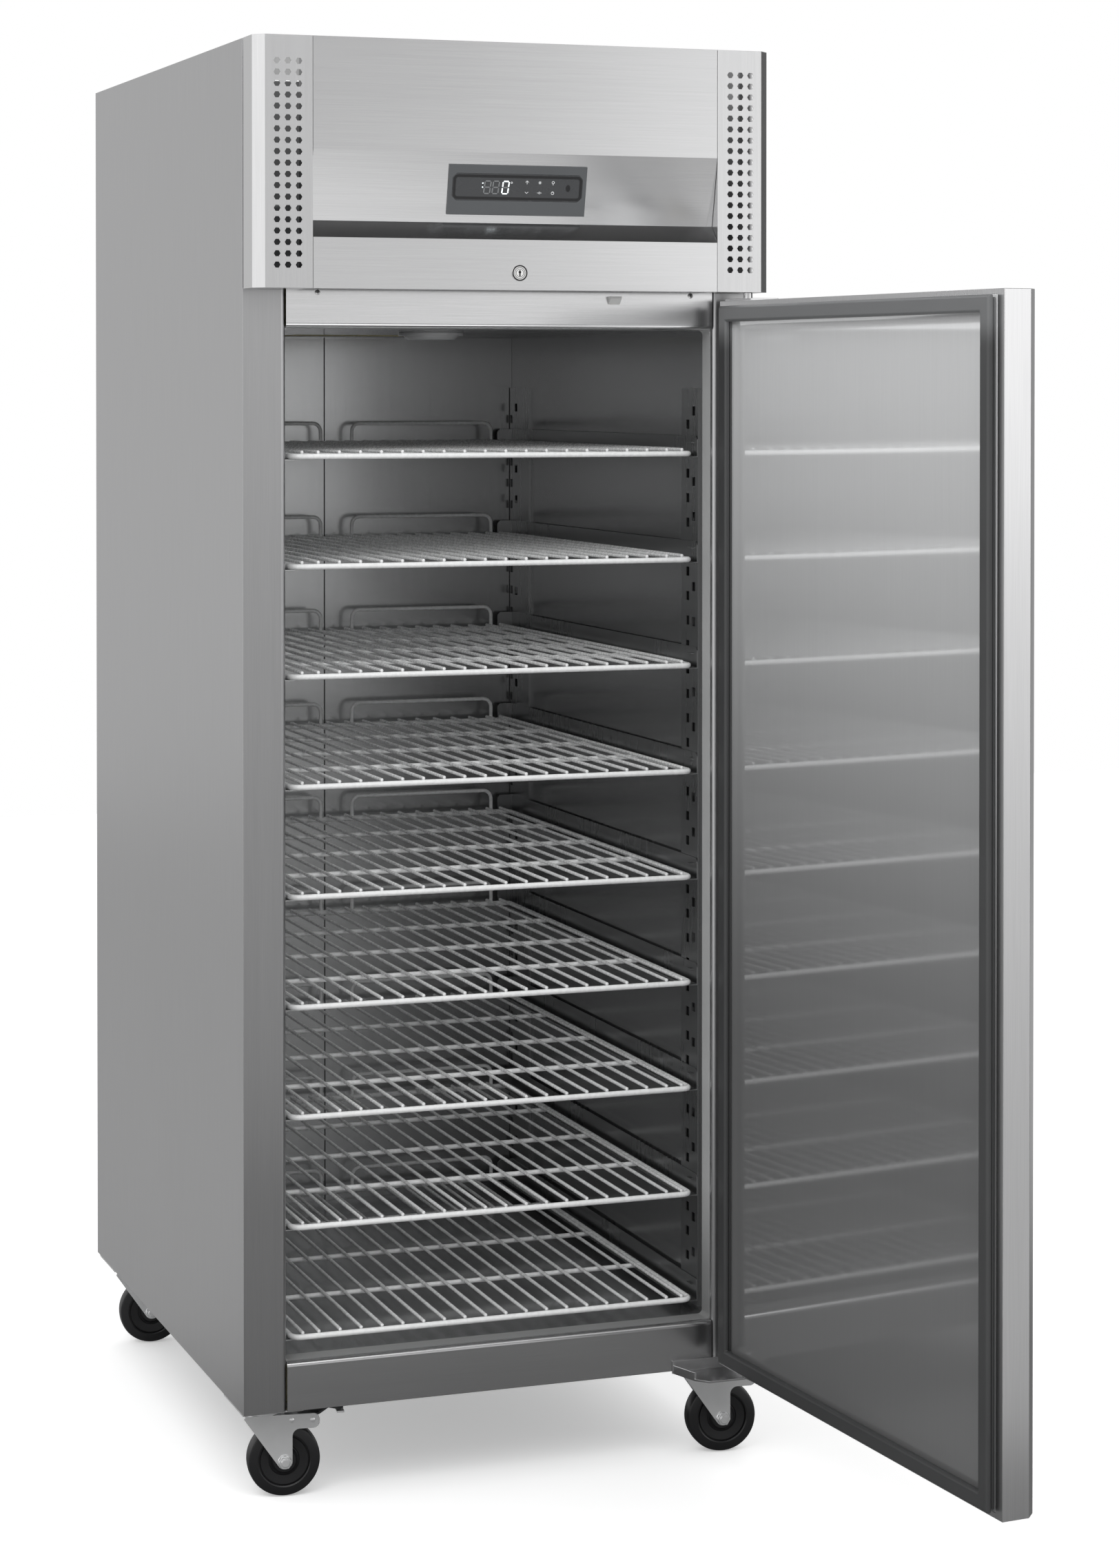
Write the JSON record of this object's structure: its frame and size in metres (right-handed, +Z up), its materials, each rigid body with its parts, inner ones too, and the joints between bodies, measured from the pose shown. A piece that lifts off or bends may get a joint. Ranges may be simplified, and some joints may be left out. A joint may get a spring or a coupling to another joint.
{
  "type": "ice cream freezer",
  "caption": "Upright stainless-steel freezer cabinet on braked casters with an open hinged door, wire shelves on slotted standards and a swing-up service panel.",
  "frame": {"origin": "on the floor, under the middle of the closed cabinet's footprint", "axes": "+X to the right seen from the front, the door side looks to -Y, +Z up along the height"},
  "size_m": [0.797, 1.684, 1.98],
  "materials": {
    "cabinet_steel": "satin",
    "front_steel": "satin",
    "door_steel": "satin",
    "liner_steel": "satin",
    "galvanised_steel": "matte",
    "foam": "matte",
    "throat_plastic": "satin",
    "standard_steel": "satin",
    "shelf_wire": "gloss",
    "lamp_plastic": "gloss",
    "switch_plastic": "satin",
    "insulated_box": "matte",
    "fin_aluminium": "satin",
    "fan_plastic": "matte",
    "black_paint": "satin",
    "box_plastic": "matte",
    "copper": "satin",
    "gland_plastic": "matte",
    "caster_zinc": "satin",
    "wheel_rubber": "matte",
    "gasket_rubber": "matte",
    "grip_plastic": "satin",
    "bezel_plastic": "satin",
    "window_plastic": "gloss",
    "lock_chrome": "polished"
  },
  "bodies": {
    "cabinet": {"left_side_panel": "cabinet_steel", "right_side_panel": "cabinet_steel", "back_panel": "galvanised_steel", "bottom_panel": "galvanised_steel", "front_rails": "front_steel", "foam_insulation": "foam", "liner_side_walls": "liner_steel", "liner_back_wall": "liner_steel", "liner_ceiling": "liner_steel", "liner_floor": "liner_steel", "throat_frame": "throat_plastic", "shelf_standards": "standard_steel", "shelf_runners": "standard_steel", "ceiling_lamp": "lamp_plastic", "fascia_columns": "front_steel", "hinge_brackets": "front_steel", "door_switch": "switch_plastic", "machine_deck": "galvanised_steel", "evaporator_housing": "insulated_box", "evaporator_coil": "fin_aluminium", "condenser_coil": "fin_aluminium", "condenser_shroud": "galvanised_steel", "compressor": "black_paint", "electrical_box": "box_plastic", "refrigerant_pipes": "copper", "mains_inlet": "gland_plastic", "caster_plates": "caster_zinc"},
    "door": {"door_skin": "door_steel", "door_core": "foam", "door_liner": "liner_steel", "door_gasket": "gasket_rubber", "grip_cup": "grip_plastic", "door_hinge_brackets": "front_steel"},
    "service_panel": {"fascia_panel": "front_steel", "display_bezel": "bezel_plastic", "display_window": "window_plastic", "controller_box": "bezel_plastic", "lock_housing": "lock_chrome"},
    "lock_plug": {"lock_barrel": "lock_chrome"},
    "evaporator_rotor": {"evaporator_fan": "fan_plastic"},
    "condenser_rotor": {"condenser_fan": "fan_plastic"},
    "sliding_shelf_1": {"shelf_1": "shelf_wire"},
    "sliding_shelf_2": {"shelf_2": "shelf_wire"},
    "sliding_shelf_3": {"shelf_3": "shelf_wire"},
    "sliding_shelf_4": {"shelf_4": "shelf_wire"},
    "sliding_shelf_5": {"shelf_5": "shelf_wire"},
    "sliding_shelf_6": {"shelf_6": "shelf_wire"},
    "sliding_shelf_7": {"shelf_7": "shelf_wire"},
    "sliding_shelf_8": {"shelf_8": "shelf_wire"},
    "sliding_shelf_9": {"shelf_9": "shelf_wire"},
    "swivel_front_left": {"caster_fork_front_left": "caster_zinc"},
    "wheel_front_left": {"caster_wheel_front_left": "wheel_rubber"},
    "swivel_front_right": {"caster_fork_front_right": "caster_zinc"},
    "wheel_front_right": {"caster_wheel_front_right": "wheel_rubber"},
    "swivel_rear_left": {"caster_fork_rear_left": "caster_zinc"},
    "wheel_rear_left": {"caster_wheel_rear_left": "wheel_rubber"},
    "swivel_rear_right": {"caster_fork_rear_right": "caster_zinc"},
    "wheel_rear_right": {"caster_wheel_rear_right": "wheel_rubber"},
    "pedal_front_left": {"brake_pedal_front_left": "caster_zinc"},
    "pedal_front_right": {"brake_pedal_front_right": "caster_zinc"}
  },
  "joints": [
    {"name": "door_swing", "type": "hinge", "parent": "cabinet", "child": "door", "pos_m": [0.345, -0.474, 0.887], "axis": [0, 0, 1], "range_deg": [-95, 25]},
    {"name": "service_panel_swing", "type": "hinge", "parent": "cabinet", "child": "service_panel", "pos_m": [0, -0.485, 1.97], "axis": [-1, 0, 0], "range_deg": [0, 70]},
    {"name": "lock_turn", "type": "hinge", "parent": "service_panel", "child": "lock_plug", "pos_m": [0, -0.475, 1.668], "axis": [0, 1, 0], "range_deg": [0, 90]},
    {"name": "evaporator_fan_spin", "type": "hinge", "parent": "cabinet", "child": "evaporator_rotor", "pos_m": [0, 0.283, 1.69], "axis": [0, 0, 1], "continuous": true},
    {"name": "condenser_fan_spin", "type": "hinge", "parent": "cabinet", "child": "condenser_rotor", "pos_m": [0, -0.3, 1.7595], "axis": [0, 1, 0], "continuous": true},
    {"name": "shelf_1_slide", "type": "slide", "parent": "cabinet", "child": "sliding_shelf_1", "axis": [0, -1, 0], "range_m": [0, 0.4]},
    {"name": "shelf_2_slide", "type": "slide", "parent": "cabinet", "child": "sliding_shelf_2", "axis": [0, -1, 0], "range_m": [0, 0.4]},
    {"name": "shelf_3_slide", "type": "slide", "parent": "cabinet", "child": "sliding_shelf_3", "axis": [0, -1, 0], "range_m": [0, 0.4]},
    {"name": "shelf_4_slide", "type": "slide", "parent": "cabinet", "child": "sliding_shelf_4", "axis": [0, -1, 0], "range_m": [0, 0.4]},
    {"name": "shelf_5_slide", "type": "slide", "parent": "cabinet", "child": "sliding_shelf_5", "axis": [0, -1, 0], "range_m": [0, 0.4]},
    {"name": "shelf_6_slide", "type": "slide", "parent": "cabinet", "child": "sliding_shelf_6", "axis": [0, -1, 0], "range_m": [0, 0.4]},
    {"name": "shelf_7_slide", "type": "slide", "parent": "cabinet", "child": "sliding_shelf_7", "axis": [0, -1, 0], "range_m": [0, 0.4]},
    {"name": "shelf_8_slide", "type": "slide", "parent": "cabinet", "child": "sliding_shelf_8", "axis": [0, -1, 0], "range_m": [0, 0.4]},
    {"name": "shelf_9_slide", "type": "slide", "parent": "cabinet", "child": "sliding_shelf_9", "axis": [0, -1, 0], "range_m": [0, 0.4]},
    {"name": "front_left_swivel", "type": "hinge", "parent": "cabinet", "child": "swivel_front_left", "pos_m": [-0.326, -0.366, 0.12], "axis": [0, 0, 1], "continuous": true},
    {"name": "front_left_roll", "type": "hinge", "parent": "swivel_front_left", "child": "wheel_front_left", "pos_m": [-0.29926, -0.36976, 0.05], "axis": [0.1392, 0.9903, 0], "continuous": true},
    {"name": "front_right_swivel", "type": "hinge", "parent": "cabinet", "child": "swivel_front_right", "pos_m": [0.311, -0.387, 0.12], "axis": [0, 0, 1], "continuous": true},
    {"name": "front_right_roll", "type": "hinge", "parent": "swivel_front_right", "child": "wheel_front_right", "pos_m": [0.33774, -0.39076, 0.05], "axis": [0.1392, 0.9903, 0], "continuous": true},
    {"name": "rear_left_swivel", "type": "hinge", "parent": "cabinet", "child": "swivel_rear_left", "pos_m": [-0.326, 0.431, 0.12], "axis": [0, 0, 1], "continuous": true},
    {"name": "rear_left_roll", "type": "hinge", "parent": "swivel_rear_left", "child": "wheel_rear_left", "pos_m": [-0.29926, 0.42724, 0.05], "axis": [0.1392, 0.9903, 0], "continuous": true},
    {"name": "rear_right_swivel", "type": "hinge", "parent": "cabinet", "child": "swivel_rear_right", "pos_m": [0.326, 0.431, 0.12], "axis": [0, 0, 1], "continuous": true},
    {"name": "rear_right_roll", "type": "hinge", "parent": "swivel_rear_right", "child": "wheel_rear_right", "pos_m": [0.35274, 0.42724, 0.05], "axis": [0.1392, 0.9903, 0], "continuous": true},
    {"name": "front_left_brake", "type": "hinge", "parent": "swivel_front_left", "child": "pedal_front_left", "pos_m": [-0.26163, -0.37505, 0.105], "axis": [0.1392, 0.9903, 0], "range_deg": [0, 10]},
    {"name": "front_right_brake", "type": "hinge", "parent": "swivel_front_right", "child": "pedal_front_right", "pos_m": [0.37537, -0.39605, 0.105], "axis": [0.1392, 0.9903, 0], "range_deg": [0, 10]}
  ]
}
